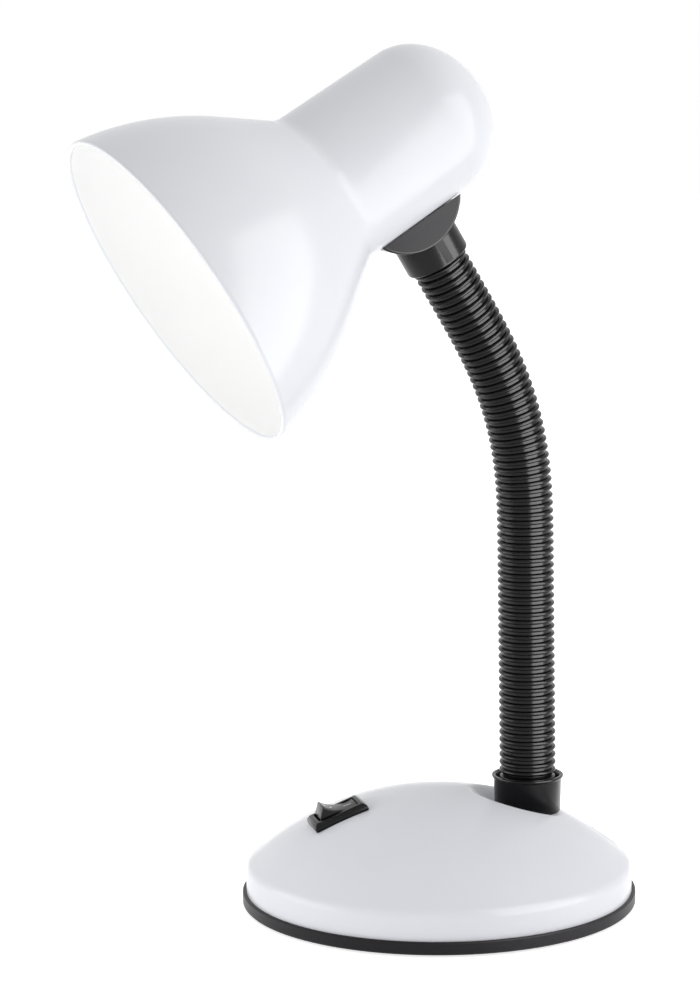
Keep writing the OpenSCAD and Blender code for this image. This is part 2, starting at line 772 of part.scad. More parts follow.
// A moulded pad that is round below, like the shade's wall, and flat above
module shade_pad() {
    color("#2b2b2d") at_head() difference() {
        intersection() {
            translate([-pad_len / 2, -bracket_w / 2, 0]) cube([pad_len, bracket_w, pad_top_z]);
            translate([-pad_len, 0, shade_axis_z]) rotate([0, 90, 0])
                cylinder(r = shade_inner_r - saddle_gap / 3, h = 2 * pad_len);
        }
        cylinder(r = stud_r + fit_gap, h = pad_top_z + over);
    }
}

module holder_bracket() {
    leg_x = fitting_s - holder_end_s;
    color("#b5b8ba") at_head() difference() {
        union() {
            translate([leg_x - bracket_t, -bracket_w / 2, pad_top_z])
                cube([bracket_nose - leg_x + bracket_t, bracket_w, bracket_t]);
            translate([leg_x - bracket_t, -bracket_w / 2, pad_top_z])
                cube([bracket_t, bracket_w, shade_axis_z - pad_top_z]);
            translate([leg_x - bracket_t, 0, shade_axis_z]) rotate([0, 90, 0])
                cylinder(r = bracket_w / 2 + bracket_rim, h = bracket_t);
        }
        cylinder(r = stud_r + fit_gap, h = shade_axis_z);
        translate([leg_x - bracket_t - over, 0, shade_axis_z]) rotate([0, 90, 0])
            cylinder(r = stud_r + fit_gap, h = bracket_t + 2 * over);
    }
}

module upper_lock_nut() {
    color("#b5b8ba") at_head() translate([0, 0, upper_nut_z]) lock_nut();
}

module holder_cap() {
    cap_z = holder_s + holder_len;
    cap_r = holder_r - cap_step;
    color("#ece9e0") along_shade() rotate_extrude() polygon([
        [stud_r + fit_gap, holder_end_s],
        [cap_r - cap_taper - cap_round_r, holder_end_s],
        [cap_r - cap_taper, holder_end_s - cap_round],
        [cap_r, cap_z],
        [cap_r - cap_wall, cap_z],
        [cap_r - cap_taper - cap_wall, holder_end_s - cap_round],
        [cap_r - cap_taper - cap_round_r - cap_wall / 2, holder_end_s - cap_wall],
        [stud_r + fit_gap, holder_end_s - cap_wall]
    ]);
}

module holder_nipple() {
    length = nipple_reach + bracket_t + nut_t + stud_end;
    color("#b5b8ba") along_shade() translate([0, 0, holder_end_s - nipple_reach]) difference() {
        cylinder(r = stud_r, h = length);
        translate([0, 0, -over]) cylinder(r = wire_way_r, h = length + 2 * over);
    }
}

module holder_nut() {
    color("#b5b8ba") along_shade() translate([0, 0, holder_nut_s]) lock_nut();
}

// The front part of the lampholder: a skirt round the screw shell, with a floor for the contacts
module holder_body() {
    inner_r = lamp_thread_r + lamp_thread_t + fit_gap;
    back_r = holder_r - skirt_wall;
    back_s = floor_s + floor_t;
    color("#ece9e0") along_shade() difference() {
        rotate_extrude() polygon([
            [0, floor_s], [inner_r, floor_s],
            [inner_r, holder_s + skirt_mouth_h], [inner_r + skirt_mouth_w, holder_s],
            [back_r, holder_s], [back_r + skirt_mouth_w, holder_s + skirt_mouth_h],
            [holder_r, holder_s + skirt_taper], [holder_r, holder_s + holder_len],
            [back_r, holder_s + holder_len], [back_r, back_s], [0, back_s]
        ]);
        translate([0, 0, floor_s - eps]) cylinder(r = pocket_r, h = pocket_depth + eps);
        for (side = [-1, 1]) translate([side * wire_hole_x, 0, floor_s - over])
            cylinder(r = wire_hole_r, h = floor_t + 2 * over);
    }
}

module screw_shell() {
    color("#c8a95c") along_shade() translate([0, 0, holder_s + shell_sink]) difference() {
        cylinder(r = lamp_thread_r + lamp_thread_t, h = lamp_thread_len);
        translate([0, 0, -over]) cylinder(r = lamp_thread_r, h = lamp_thread_len + 2 * over);
    }
}

// The contact that the lamp's tip touches, in a pocket of the holder's floor
module centre_contact() {
    pocket_s = floor_s + pocket_depth;
    color("#c8a95c") along_shade() {
        translate([-contact_w / 2, contact_r - contact_len, pocket_s - contact_t])
            cube([contact_w, contact_len, contact_t]);
        translate([0, 0, pocket_s - contact_rise]) cylinder(r = contact_r, h = contact_rise);
    }
}

foot_ring();
base_plate();
ballast_weight();
base_screws();
base_shell();
cable_inlet_bush();
terminal_block();
switch_body();
switch_terminals();
switch_rocker();
collar();
lower_fitting();
lower_washer();
lower_lock_nut();
for (i = [0:sleeve_count - 1]) neck_sleeve(i);
for (i = [1:sleeve_count - 1]) neck_core(i);
shade_bracket();
upper_fitting();
shade();
shade_pad();
holder_bracket();
upper_lock_nut();
holder_cap();
holder_nipple();
holder_nut();
holder_body();
screw_shell();
centre_contact();
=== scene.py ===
"""Gooseneck desk lamp: the looks of its shade, ribbed neck, domed base and rocker switch.

Sizes are real ones in millimetres, turned to metres by MM where a mesh is made.
Front is -Y, up is +Z, and the origin is on the tabletop under the middle of the base.
"""

import json
import math

import bmesh
import bpy
from mathutils import Matrix, Vector

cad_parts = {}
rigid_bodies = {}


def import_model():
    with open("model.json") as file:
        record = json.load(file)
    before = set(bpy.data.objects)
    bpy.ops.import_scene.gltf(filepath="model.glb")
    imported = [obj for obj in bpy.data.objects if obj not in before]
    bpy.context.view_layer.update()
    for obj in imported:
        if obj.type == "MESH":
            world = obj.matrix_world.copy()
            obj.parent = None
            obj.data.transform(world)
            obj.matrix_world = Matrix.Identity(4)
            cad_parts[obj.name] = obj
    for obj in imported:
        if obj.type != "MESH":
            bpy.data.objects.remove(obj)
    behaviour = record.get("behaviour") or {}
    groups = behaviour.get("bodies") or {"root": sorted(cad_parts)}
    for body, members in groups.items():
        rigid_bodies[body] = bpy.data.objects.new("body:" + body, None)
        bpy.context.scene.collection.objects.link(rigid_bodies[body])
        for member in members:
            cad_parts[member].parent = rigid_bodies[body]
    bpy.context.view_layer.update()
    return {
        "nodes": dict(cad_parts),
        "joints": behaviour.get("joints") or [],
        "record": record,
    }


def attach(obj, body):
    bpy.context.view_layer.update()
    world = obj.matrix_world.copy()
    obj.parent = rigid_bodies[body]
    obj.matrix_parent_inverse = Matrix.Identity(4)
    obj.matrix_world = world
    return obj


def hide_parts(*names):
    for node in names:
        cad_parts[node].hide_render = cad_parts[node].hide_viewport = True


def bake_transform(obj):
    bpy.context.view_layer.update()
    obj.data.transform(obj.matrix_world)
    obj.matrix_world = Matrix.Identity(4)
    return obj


MM = 0.001

for thing in list(bpy.data.objects):
    bpy.data.objects.remove(thing)

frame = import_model()
joints = {joint["name"]: joint for joint in frame["joints"]}
SLOTS = {part["node"]: part["material_slot"] for part in frame["record"]["subparts"]}

# ---------- Sizes, in millimetres and degrees ----------

# Base
SHELL_R = 71.1
SHELL_WALL = 2.0
SHELL_FOOT_Z = 3.0
SIDE_TOP_Z = 13.2
SHOULDER_R = 4.4
SHOULDER_SLOPE = 38.0
CROWN_FOOT_R = 62.9
CROWN_TOP_Z = 42.4
TRAY_R = 72.5
TRAY_Z = 1.0
TRAY_T = 2.0
TRAY_TOP_Z = 5.65
TRAY_BEVEL = 0.6
TRAY_BEVEL_H = 0.4

# Collar and its seat
COLLAR_Y = 34.2
SEAT_Z = 32.5
SEAT_R = 14.0
SEAT_FLARE = 40.0
SEAT_REACH = 40.0
SEAT_SOFTNESS = 1.3

# Neck
NECK_Z = 41.0
NECK_TURN = 9.0
RIB_R = 10.45
GROOVE_R = 9.2
RIB_PITCH = 2.85
RIB_HALF_SHARE = 0.33
RIBS_OF_END = 7
RIBS_OF_LENGTH = 6
NECK_JOINTS = 11
NECK_BORE_R = 8.75
LEAN = 0.5
LEAN_LENGTH = 30.0
NECK_SLOPE = 31.0
BEND_START = 92.0
BEND_LENGTH = 96.0

# Shade, along its own axis from its mouth
FITTING_S = 89.6
SHADE_AXIS_Z = 40.0
MOUTH_R = 62.5
SHADE_WALL = 1.8
BELL_SLOPE_MOUTH = 9.0
BELL_SLOPE_NECK = 37.0
BELL_CURVE_R = 104.0
SHADE_NECK_R = 29.0
CREASE_R = 9.0
CAP_START = 110.0
CAP_FOOT_R = 28.5
CAP_DEPTH = 23.6

# Cable dish
DISH_R = 10.5
DISH_DEPTH = 1.8
DISH_Y = 63.6
DISH_REACH = 16.0
DISH_SOFTNESS = 0.45
BUSH_HOLE_R = 4.45

# Cable bush
BUSH_FLANGE_R = 6.1
BUSH_BARREL_R = 4.3
BUSH_BORE_R = 3.1
BUSH_TAIL = 6.0

# Foot ring
FOOT_OUTER_R = TRAY_R - 6.5
FOOT_INNER_R = TRAY_R - 22.5

# Every hole that a threaded tube passes through
STUD_HOLE_R = 5.15

# Screws of the tray
SCREW_COUNT = 4
SCREW_RING_R = SHELL_R - 10.5
SCREW_HEAD_R = 3.0
SCREW_HEAD_H = 1.5
SCREW_HEAD_HOLE_R = 3.15
SCREW_R = 1.5
SCREW_HOLE_R = 1.65
SCREW_LEN = 12.0
RECESS_LEN = 3.0
RECESS_W = 0.6
RECESS_DEPTH = 1.4

# Collar
COLLAR_FOOT_R = 12.1
COLLAR_TOP_R = 12.5
COLLAR_LIP_R = 13.2
COLLAR_H = 13.7

# Switch
SWITCH_Y = 38.0
BEZEL_LEN = 21.0
BEZEL_W = 15.0
BEZEL_T = 3.0
BEZEL_SLOPE = 1.3
OPENING_LEN = 15.8
OPENING_W = 9.8
SWITCH_DEPTH = 13.0
PIVOT_Z = 0.8
ROCKER_HALF = 7.6
ROCKER_W = 9.2
ROCKER_RISE = 4.6
ROCKER_LEAN = 14.0
ROCKER_HOLLOW = 1.8
ROCKER_TILT = 20.0

# Marks printed on the rocker
CIRCLE_ALONG = -3.7
CIRCLE_R = 1.45
CIRCLE_BORE_SHARE = 0.72
LINE_ALONG = 3.6
LINE_LEN = 2.9
LINE_W = 0.45
PRINT_T = 0.03

# Shade bracket
SADDLE_R = 20.3
SADDLE_W = 24.0
SADDLE_S = 87.8
SADDLE_FOOT = 2.9
SOCKET_R = 11.9
SOCKET_DEPTH = 6.0
HORN_SHARE = 0.85

# Lampholder, along the shade's axis from its mouth
HOLDER_S = 62.0
HOLDER_R = 18.5
HOLDER_LEN = 33.0
HOLDER_CAP_LEN = 17.0
SKIRT_STEP = 2.5
FLUTES = 24
FLUTE_LEN = 11.0
FLUTE_DEPTH = 0.45
SCREW_SHELL_S = HOLDER_S + 2
THREAD_R = 13.3
THREAD_DEPTH = 0.75
THREAD_LEN = 23.0
THREAD_PITCH = 3.62
CONTACT_RISE = 3.0
BRACKET_W = 12.0
BRACKET_T = 1.5
PAD_TOP_Z = 14.8

# How finely the base shell is made
SHELL_STEPS = 400
CROWN_RINGS = 84
CONE_RINGS = 8


def sin(degrees):
    return math.sin(math.radians(degrees))


def cos(degrees):
    return math.cos(math.radians(degrees))


def tan(degrees):
    return math.tan(math.radians(degrees))


# ---------- Frames that the pieces stand in ----------

NECK_PLANE = Matrix.Translation((0, COLLAR_Y, 0)) @ Matrix.Rotation(math.radians(NECK_TURN - 90), 4, "Z")


def sleeve_length(number):
    """Length of neck sleeve 1 to 12."""
    ribs = RIBS_OF_END if number in (1, NECK_JOINTS + 1) else RIBS_OF_LENGTH
    return ribs * RIB_PITCH


def joint_place(number):
    """Centre of neck knuckle 1 to 11, in millimetres."""
    return Vector(joints[f"neck_bend_{number:02d}"]["pos_m"]) / MM


def neck_end():
    """Upper end of the neck, in millimetres."""
    rise = NECK_PLANE.to_3x3() @ Vector((sin(NECK_SLOPE), 0, cos(NECK_SLOPE)))
    return joint_place(NECK_JOINTS) + rise * sleeve_length(NECK_JOINTS + 1)


HEAD = (
    Matrix.Translation(neck_end())
    @ NECK_PLANE.to_3x3().to_4x4()
    @ Matrix.Rotation(math.radians(NECK_SLOPE), 4, "Y")
)
SHADE = HEAD @ Matrix.Translation((FITTING_S, 0, SHADE_AXIS_Z)) @ Matrix.Rotation(math.radians(-90), 4, "Y")


def screw_places():
    """Where the tray's screws stand: evenly round the base, half a step on from its right."""
    for number in range(SCREW_COUNT):
        turn = math.tau * (number + 0.5) / SCREW_COUNT
        yield Matrix.Rotation(turn, 4, "Z") @ Matrix.Translation((SCREW_RING_R, 0, 0))


# ---------- Mesh tools ----------


def object_from(work, name):
    """Turns a bmesh into a smooth-shaded object at the origin."""
    mesh = bpy.data.meshes.new(name)
    work.to_mesh(mesh)
    work.free()
    mesh.polygons.foreach_set("use_smooth", [True] * len(mesh.polygons))
    thing = bpy.data.objects.new(name, mesh)
    bpy.context.scene.collection.objects.link(thing)
    return thing


def piece_from(work, name, body, material, *stands_for, place=None, sharp=None):
    """Turns a bmesh in millimetres into a piece that rides on a body and stands for CAD nodes.

    Edges sharper than the angle sharp, in degrees, stay crisp.
    """
    if place is not None:
        work.transform(place)
    work.transform(Matrix.Scale(MM, 4))
    piece = object_from(work, name)
    if sharp:
        piece.data.set_sharp_from_angle(angle=math.radians(sharp))
    piece.data.materials.append(material)
    if body:
        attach(piece, body)
    if stands_for:
        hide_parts(*stands_for)
    return piece


def combine(work, operation, *cutters):
    """The bmesh with others joined to it or cut from it, as a new bmesh."""
    things = [object_from(shape, "combined") for shape in (work, *cutters)]
    for cutter in things[1:]:
        modifier = things[0].modifiers.new("combine", "BOOLEAN")
        modifier.operation = operation
        modifier.solver = "EXACT"
        modifier.object = cutter
    shapes = bpy.context.evaluated_depsgraph_get()
    result = bmesh.new()
    result.from_object(things[0], shapes)
    for thing in things:
        bpy.data.meshes.remove(thing.data)
    return result


def block(size, centre):
    """A box of a size round a centre."""
    work = bmesh.new()
    bmesh.ops.create_cube(work, size=1, matrix=Matrix.Translation(centre) @ Matrix.Diagonal((*size, 1)))
    return work


def rod(radius, low, high, steps=96, place=None):
    """A cylinder along z between two heights."""
    work = bmesh.new()
    bmesh.ops.create_cone(
        work,
        cap_ends=True,
        segments=steps,
        radius1=radius,
        radius2=radius,
        depth=high - low,
        matrix=Matrix.Translation((0, 0, (low + high) / 2)),
    )
    if place is not None:
        work.transform(place)
    return work


def edges_at(work, angle):
    """The edges whose faces meet more sharply than an angle in degrees."""
    work.normal_update()
    return [e for e in work.edges if len(e.link_faces) == 2 and e.calc_face_angle(0) > math.radians(angle)]


def round_edges(work, edges, width, steps=3):
    """Rounds edges over a width, or bevels them flat with one step."""
    bmesh.ops.bevel(
        work,
        geom=edges,
        offset=width,
        segments=steps,
        profile=0.5,
        affect="EDGES",
        clamp_overlap=True,
        material=-1,
    )


def lathe(outline, steps=160, closed=True):
    """Spins an outline of (radius, height) points about Z."""
    work = bmesh.new()
    points = [work.verts.new((radius, 0, height)) for radius, height in outline]
    pairs = list(zip(points, points[1:]))
    if closed:
        pairs.append((points[-1], points[0]))
    edges = [work.edges.new(pair) for pair in pairs]
    bmesh.ops.spin(
        work,
        geom=points + edges,
        cent=(0, 0, 0),
        axis=(0, 0, 1),
        angle=math.tau,
        steps=steps,
        use_merge=True,
    )
    bmesh.ops.remove_doubles(work, verts=work.verts, dist=1e-5)
    bmesh.ops.recalc_face_normals(work, faces=work.faces)
    return work


def arc(centre_r, centre_z, radius, start, end, steps):
    """Points of an arc, with its angles in degrees from the outward direction."""
    angles = [start + (end - start) * i / steps for i in range(steps + 1)]
    return [(centre_r + radius * cos(a), centre_z + radius * sin(a)) for a in angles]


# ---------- Materials ----------


def linear(hex_colour):
    """Turns an sRGB hex colour to linear."""
    channels = [int(hex_colour[i : i + 2], 16) / 255 for i in (1, 3, 5)]
    return [c / 12.92 if c <= 0.04045 else ((c + 0.055) / 1.055) ** 2.4 for c in channels] + [1.0]


def add_node(tree, kind, settings=None, **links):
    """Adds a node with its links.

    A link is named after its input, or i0, i1 and so on for an input known by number.
    Its value is an output socket or a plain value.
    """
    node = tree.nodes.new(kind)
    for key, value in (settings or {}).items():
        setattr(node, key, value)
    for key, value in links.items():
        numbered = key[0] == "i" and key[1:].isdigit()
        socket = node.inputs[int(key[1:]) if numbered else key.replace("_", " ")]
        if isinstance(value, bpy.types.NodeSocket):
            tree.links.new(value, socket)
        else:
            socket.default_value = value
    return node


def new_material(name):
    """An empty material and its node tree."""
    material = bpy.data.materials.new(name)
    material.use_nodes = True
    tree = material.node_tree
    tree.nodes.clear()
    return material, tree


def finish_material(tree, **sockets):
    """Adds the Principled shader with its inputs, and the output."""
    shader = add_node(tree, "ShaderNodeBsdfPrincipled", None, **sockets)
    output = add_node(tree, "ShaderNodeOutputMaterial")
    tree.links.new(shader.outputs[0], output.inputs[0])


def glossy_white(name, colour, shadow_colour, roughness):
    """Moulded or painted white: even colour, faint cloudiness and a very slight waviness of the gloss."""
    material, tree = new_material(name)
    place = add_node(tree, "ShaderNodeTexCoord")
    clouds = add_node(tree, "ShaderNodeTexNoise", Vector=place.outputs["Object"], Scale=22.0, Detail=2.0)
    mix = add_node(
        tree,
        "ShaderNodeMix",
        {"data_type": "RGBA"},
        i0=clouds.outputs["Fac"],
        i6=linear(colour),
        i7=linear(shadow_colour),
    )
    waves = add_node(tree, "ShaderNodeTexNoise", Vector=place.outputs["Object"], Scale=60.0, Detail=1.0)
    bump = add_node(tree, "ShaderNodeBump", Strength=0.04, Distance=0.001, Height=waves.outputs["Fac"])
    finish_material(
        tree,
        Base_Color=mix.outputs[2],
        Roughness=roughness,
        IOR=1.53,
        Specular_IOR_Level=0.08,
        Normal=bump.outputs[0],
    )
    return material


def moulded_plastic(name, colour, roughness, grain_mm=0.6, strength=0.06, gloss=0.5):
    """Moulded plastic or foam with a fine uneven gloss; a low gloss keeps black deep in the all-white room."""
    material, tree = new_material(name)
    place = add_node(tree, "ShaderNodeTexCoord")
    grain = add_node(
        tree, "ShaderNodeTexNoise", Vector=place.outputs["Object"], Scale=1 / (grain_mm * MM), Detail=3.0
    )
    low = roughness - 0.05
    rough = add_node(
        tree, "ShaderNodeMapRange", Value=grain.outputs["Fac"], To_Min=low, To_Max=roughness + 0.08
    )
    bump = add_node(tree, "ShaderNodeBump", Strength=strength, Distance=0.0003, Height=grain.outputs["Fac"])
    finish_material(
        tree,
        Base_Color=linear(colour),
        Roughness=rough.outputs[0],
        IOR=1.5,
        Normal=bump.outputs[0],
        Specular_IOR_Level=gloss,
    )
    return material


def metal(name, colour, roughness, grain_mm=0.4, metallic=1.0):
    """Plated or turned metal with a fine grain."""
    material, tree = new_material(name)
    place = add_node(tree, "ShaderNodeTexCoord")
    grain = add_node(
        tree, "ShaderNodeTexNoise", Vector=place.outputs["Object"], Scale=1 / (grain_mm * MM), Detail=2.0
    )
    rough = add_node(
        tree,
        "ShaderNodeMapRange",
        Value=grain.outputs["Fac"],
        To_Min=max(0.05, roughness - 0.08),
        To_Max=roughness + 0.1,
    )
    finish_material(tree, Base_Color=linear(colour), Metallic=metallic, Roughness=rough.outputs[0])
    return material


# Cool white that mirrors the soft boxes as pale bands
WHITE_SHADE = glossy_white("glossy_white_abs_of_shade", "#eceef2", "#e7e9ee", 0.22)
# Pure, duller white inside the shade, whiter than the outside as painted light
WHITE_INSIDE = glossy_white("white_inside_with_painted_light", "#ffffff", "#fbfbfb", 0.45)
# The same white made a little greyer over the dome as painted shade, with a soft sheen
WHITE_BASE = glossy_white("glossy_white_abs_of_base", "#e9eaee", "#e3e4ea", 0.2)
# Deep black with soft highlights on the collar, socket and switch
BLACK_GLOSS = moulded_plastic("moulded_black_abs", "#0b0a0c", 0.2, gloss=0.21)
# Duller black of the saddle's flat faces, with a fine grain
BLACK_SATIN = moulded_plastic("spark_eroded_black_abs", "#0e0d10", 0.36, 0.3, 0.15, gloss=0.12)
# Deep black with a thin highlight along each rib
BLACK_HOSE = moulded_plastic("black_pvc_of_hose", "#0b0a0c", 0.2, gloss=0.21)
# Slightly lighter, satin black of the tray's rim
BLACK_TRAY = moulded_plastic("black_polypropylene_of_tray", "#151316", 0.38, gloss=0.17)
# Dark grey, dull and grainy
FOAM = moulded_plastic("closed_cell_foam", "#242426", 0.8, 0.35, 0.6)
# Dark grey metal with a coarse, dull grain
CAST_IRON = metal("rough_cast_iron", "#4a4b4e", 0.6, 0.9, 0.8)
# Mid grey metal with a fine turned grain
STEEL = metal("turned_steel", "#9b9ea2", 0.3)
# Bright, slightly clouded metal
ZINC = metal("bright_zinc_plate", "#c3c6c9", 0.28)
# Yellow metal, bright where it faces the light
BRASS = metal("pressed_brass", "#c9a75b", 0.25)
# Warm cream, half dull
HOLDER = moulded_plastic("moulded_cream_thermoplastic", "#e6e2d6", 0.4)
# Off-white print that stands out from the black rocker
WHITE_PRINT = moulded_plastic("white_pad_print", "#e8e8ea", 0.35)
# Yellowish, dull plastic
BLOCK = moulded_plastic("natural_polyamide", "#e2ddcd", 0.5)

SLOT_MATERIALS = {
    "shade_plastic": WHITE_SHADE,
    "base_plastic": WHITE_BASE,
    "black_plastic": BLACK_GLOSS,
    "tray_plastic": BLACK_TRAY,
    "hose_plastic": BLACK_HOSE,
    "foam_rubber": FOAM,
    "iron_ballast": CAST_IRON,
    "conduit_steel": STEEL,
    "zinc_steel": ZINC,
    "contact_brass": BRASS,
    "holder_plastic": HOLDER,
    "block_plastic": BLOCK,
}


def dress(thing, material):
    """Gives a CAD node its only material."""
    thing.data.materials.clear()
    thing.data.materials.append(material)


for node, slot in SLOTS.items():
    dress(frame["nodes"][node], SLOT_MATERIALS[slot])

# ---------- Shade ----------


def shade_outline(inset):
    """The shade's outline from mouth to cap as (radius, distance), moved inwards by inset."""
    curve_r = BELL_CURVE_R - inset
    centre_r = MOUTH_R - BELL_CURVE_R * cos(BELL_SLOPE_MOUTH)
    centre_s = -BELL_CURVE_R * sin(BELL_SLOPE_MOUTH)
    bell = arc(centre_r, centre_s, curve_r, BELL_SLOPE_MOUTH, BELL_SLOPE_NECK, 28)
    bell_len = BELL_CURVE_R * (sin(BELL_SLOPE_NECK) - sin(BELL_SLOPE_MOUTH))
    bell_end_r = MOUTH_R - BELL_CURVE_R * (cos(BELL_SLOPE_MOUTH) - cos(BELL_SLOPE_NECK))
    crease_s = bell_len + (bell_end_r - SHADE_NECK_R) / tan(BELL_SLOPE_NECK)
    crease_s += CREASE_R * tan(BELL_SLOPE_NECK / 2)
    crease = [
        (
            SHADE_NECK_R + CREASE_R - (CREASE_R + inset) * cos(a),
            crease_s - (CREASE_R + inset) * sin(a),
        )
        for a in [BELL_SLOPE_NECK * (1 - i / 10) for i in range(11)]
    ]
    cap = [
        ((CAP_FOOT_R - inset) * cos(90 * i / 28), CAP_START + (CAP_DEPTH - inset) * sin(90 * i / 28))
        for i in range(29)
    ]
    return bell + crease + cap


def make_shade():
    """One moulded wall with a rounded rim, its inside whiter than its outside as painted light."""
    half = SHADE_WALL / 2
    outer, inner = shade_outline(0)[1:], shade_outline(SHADE_WALL)[1:]
    rim = arc(MOUTH_R - half - 0.1, half, half, 180, 350, 10)
    work = lathe(rim + outer + inner[::-1], 240)
    # Faces that look inwards get the whiter inside material: painted light
    for face in work.faces:
        middle = face.calc_center_median()
        away = Vector((middle.x, middle.y, 0))
        face.material_index = 1 if face.normal.dot(away) < 0 and middle.z > half else 0
    piece = piece_from(work, "shade_shell", "head", WHITE_SHADE, "shade", place=SHADE)
    piece.data.materials.append(WHITE_INSIDE)


make_shade()

# ---------- Neck ----------


def smooth_step(value):
    """Eases from 0 to 1, and stays there on either side."""
    value = min(1.0, max(0.0, value))
    return value * value * (3 - 2 * value)


def neck_slope(run):
    """Slope of the neck from upright at a distance from its lower end, in degrees."""
    lean = LEAN * smooth_step(run / LEAN_LENGTH)
    return lean + (NECK_SLOPE - LEAN) * smooth_step((run - BEND_START) / BEND_LENGTH)


NECK_LENGTH = sum(sleeve_length(number) for number in range(1, NECK_JOINTS + 2))
NECK_STEP = 0.15
neck_line = [(0.0, NECK_Z)]
while len(neck_line) * NECK_STEP < NECK_LENGTH + NECK_STEP:
    middle = (len(neck_line) - 0.5) * NECK_STEP
    forward, height = neck_line[-1]
    neck_line.append((forward + NECK_STEP * sin(neck_slope(middle)), height + NECK_STEP * cos(neck_slope(middle))))


def neck_point(run):
    """Forward reach and height of the neck's middle line at a distance from its lower end."""
    place = min(run / NECK_STEP, len(neck_line) - 1.001)
    low = int(place)
    share = place - low
    forward = neck_line[low][0] * (1 - share) + neck_line[low + 1][0] * share
    height = neck_line[low][1] * (1 - share) + neck_line[low + 1][1] * share
    return forward, height


# The curve is nudged evenly so that it ends exactly in the head's socket
cad_end = NECK_PLANE.inverted() @ neck_end()
free_end = neck_point(NECK_LENGTH)
END_MISS = (cad_end.x - free_end[0], cad_end.z - free_end[1])


def neck_place(run):
    """Matrix that stands at a point of the neck's middle line, with z along it."""
    forward, height = neck_point(run)
    share = run / NECK_LENGTH
    shift = smooth_step(share)
    return (
        NECK_PLANE
        @ Matrix.Translation((forward + END_MISS[0] * shift, 0, height + END_MISS[1] * share))
        @ Matrix.Rotation(math.radians(neck_slope(run)), 4, "Y")
    )


def rib_radius(run):
    """Radius of the ribbed hose: round crests with flat-bottomed grooves between them."""
    off_crest = abs(run / RIB_PITCH % 1 - 0.5) / RIB_HALF_SHARE
    swell = math.sqrt(max(0.0, 1 - off_crest**2))
    return GROOVE_R + (RIB_R - GROOVE_R) * swell


RINGS_OF_RIB = 12
HOSE_SIDES = 72


def hose_stretch(start, end):
    """A stretch of the hose between two distances along it, open at both ends but with a thick wall."""
    steps = max(2, round((end - start) / RIB_PITCH * RINGS_OF_RIB))
    runs = [start + (end - start) * i / steps for i in range(steps + 1)]
    outline = [(rib_radius(run), run) for run in runs]
    outline += [(NECK_BORE_R, end), (NECK_BORE_R, (start + end) / 2), (NECK_BORE_R, start)]
    work = lathe(outline, HOSE_SIDES)
    for vertex in work.verts:
        run = vertex.co.z
        vertex.co = neck_place(run) @ Vector((vertex.co.x, vertex.co.y, 0))
    return work


def make_neck():
    """Half a sleeve at a time: the two end halves ride on the base and the head, and every half next to a knuckle stays
    fixed where it is made, on no body.
    """
    ends = [0.0]
    for number in range(1, NECK_JOINTS + 2):
        ends.append(ends[-1] + sleeve_length(number))
    bodies = ["base"] + [f"length_{n:02d}" for n in range(2, NECK_JOINTS + 1)] + ["head"]
    for number, body in enumerate(bodies, start=1):
        low, high = ends[number - 1 : number + 1]
        middle = low + round((high - low) / RIB_PITCH) // 2 * RIB_PITCH
        sleeve = f"neck_sleeve_{number:02d}"
        for half, start, end, knuckle in (
            ("lower", low, middle, number - 1),
            ("upper", middle, high, number),
        ):
            name = f"hose_{number:02d}_{half}"
            free = 1 <= knuckle <= NECK_JOINTS
            piece = piece_from(hose_stretch(start, end), name, None if free else body, BLACK_HOSE, sleeve, sharp=55)
            if free:
                pair = [f"knuckle_{knuckle:02d}", body]
                if half == "upper":
                    pair.reverse()
                reach = [neck_place(run).translation * MM for run in (start, end)]
                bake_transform(piece)


make_neck()

# ---------- Base shell ----------

SHOULDER_C = SHELL_R - SHOULDER_R
CONE_R = SHOULDER_C + SHOULDER_R * sin(SHOULDER_SLOPE)
CONE_Z = SIDE_TOP_Z + SHOULDER_R * cos(SHOULDER_SLOPE)
CROWN_FOOT_Z = CONE_Z + (CONE_R - CROWN_FOOT_R) * tan(SHOULDER_SLOPE)
CROWN_RISE = CROWN_TOP_Z - CROWN_FOOT_Z
CROWN_R = (CROWN_FOOT_R**2 + CROWN_RISE**2) / (2 * CROWN_RISE)
CROWN_C = CROWN_TOP_Z - CROWN_R
DISH_Z = CONE_Z + (CONE_R - DISH_Y) * tan(SHOULDER_SLOPE)
DISH_BALL_R = (DISH_R**2 + DISH_DEPTH**2) / (2 * DISH_DEPTH)
AT_DISH = Matrix.Translation((0, DISH_Y, DISH_Z)) @ Matrix.Rotation(math.radians(-SHOULDER_SLOPE), 4, "X")
AT_SEAT = Matrix.Translation((0, COLLAR_Y, SEAT_Z))
SWITCH_TILT = math.degrees(math.asin(SWITCH_Y / CROWN_R))
SEAT_SINK = (BEZEL_LEN / 2) ** 2 / (2 * CROWN_R)
AT_SWITCH = (
    Matrix.Translation((0, -SWITCH_Y, CROWN_C + math.sqrt(CROWN_R**2 - SWITCH_Y**2)))
    @ Matrix.Rotation(math.radians(SWITCH_TILT), 4, "X")
    @ Matrix.Translation((0, 0, -SEAT_SINK))
)


def soft_lower(value, limit, softness):
    """The lower of two heights, with the corner between them rounded."""
    share = min(1.0, max(0.0, 0.5 + 0.5 * (value - limit) / softness))
    return value * (1 - share) + limit * share - softness * share * (1 - share)


def carve(work, place, reach, depth_at, softness):
    """Sinks a round hollow into a surface, in the hollow's own frame, with its edge rounded."""
    back = place.inverted()
    for vertex in work.verts:
        spot = back @ vertex.co
        away = math.hypot(spot.x, spot.y)
        if away < reach and spot.z > -reach:
            spot.z = soft_lower(spot.z, depth_at(away), softness)
            vertex.co = place @ spot


def seat_height(away):
    """Height of the collar's seat over its middle, at a distance from it."""
    return max(0.0, away - SEAT_R) / tan(SEAT_FLARE)


def dish_height(away):
    """Height of the cable dish over its rim's plane, at a distance from its middle."""
    return DISH_BALL_R - DISH_DEPTH - math.sqrt(DISH_BALL_R**2 - away**2)


